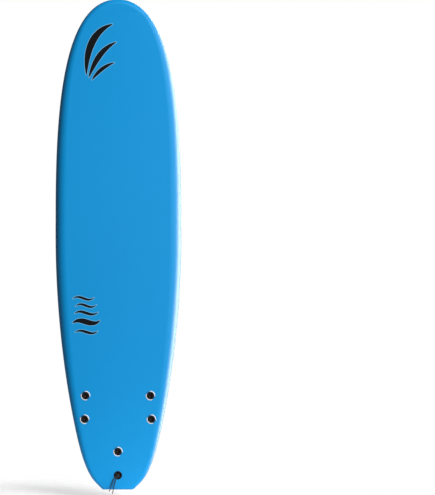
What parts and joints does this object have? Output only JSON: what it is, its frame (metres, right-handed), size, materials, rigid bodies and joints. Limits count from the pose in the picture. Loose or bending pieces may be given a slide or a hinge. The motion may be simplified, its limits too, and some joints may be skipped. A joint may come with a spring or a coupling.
{
  "type": "surfboard",
  "caption": "Soft-top surfboard: foam-cored board with a rounded nose and squash tail, slick bottom, three bolted fins, deck plugs and a leash cup with its leash string.",
  "frame": {"origin": "on the bottom surface, on the centre line, halfway along the board", "axes": "+Z towards the nose, +Y out of the bottom (the fins point that way), -Y out of the deck, +X to the right seen from the deck"},
  "size_m": [0.5514, 0.2412, 2.1528],
  "materials": {
    "deck_foam": "closed-cell foam, satin",
    "white_foam": "expanded bead foam",
    "wood": "sawn veneer",
    "slick_plastic": "printed, glossy",
    "black_plastic": "moulded, satin",
    "fin_nylon": "moulded nylon, satin gloss",
    "ring_plastic": "moulded, glossy",
    "steel": "stainless",
    "cord": "braided"
  },
  "bodies": {
    "board": {"core_left": "white_foam", "core_center": "white_foam", "core_right": "white_foam", "stringer_left": "wood", "stringer_right": "wood", "deck_skin": "deck_foam", "bottom_slick": "slick_plastic", "fin_box_left": "black_plastic", "fin_left": "fin_nylon", "grub_screw_left_front": "steel", "fin_bolt_left_front": "steel", "deck_plug_left_front": "black_plastic", "plug_ring_left_front": "ring_plastic", "grub_screw_left_rear": "steel", "fin_bolt_left_rear": "steel", "deck_plug_left_rear": "black_plastic", "plug_ring_left_rear": "ring_plastic", "fin_box_right": "black_plastic", "fin_right": "fin_nylon", "grub_screw_right_front": "steel", "fin_bolt_right_front": "steel", "deck_plug_right_front": "black_plastic", "plug_ring_right_front": "ring_plastic", "grub_screw_right_rear": "steel", "fin_bolt_right_rear": "steel", "deck_plug_right_rear": "black_plastic", "plug_ring_right_rear": "ring_plastic", "fin_box_center": "black_plastic", "fin_center": "fin_nylon", "grub_screw_center_front": "steel", "fin_bolt_center_front": "steel", "deck_plug_center_front": "black_plastic", "plug_ring_center_front": "ring_plastic", "grub_screw_center_rear": "steel", "fin_bolt_center_rear": "steel", "leash_cup": "black_plastic", "leash_bar": "black_plastic"},
    "leash_string": {"leash_string_right": "cord", "leash_string_left": "cord"}
  },
  "joints": [
    {"name": "leash_string_swing", "type": "hinge", "parent": "board", "child": "leash_string", "pos_m": [0, -0.08772, -1.004], "axis": [-0.7071, 0, 0.7071], "range_deg": [0, 110]}
  ]
}
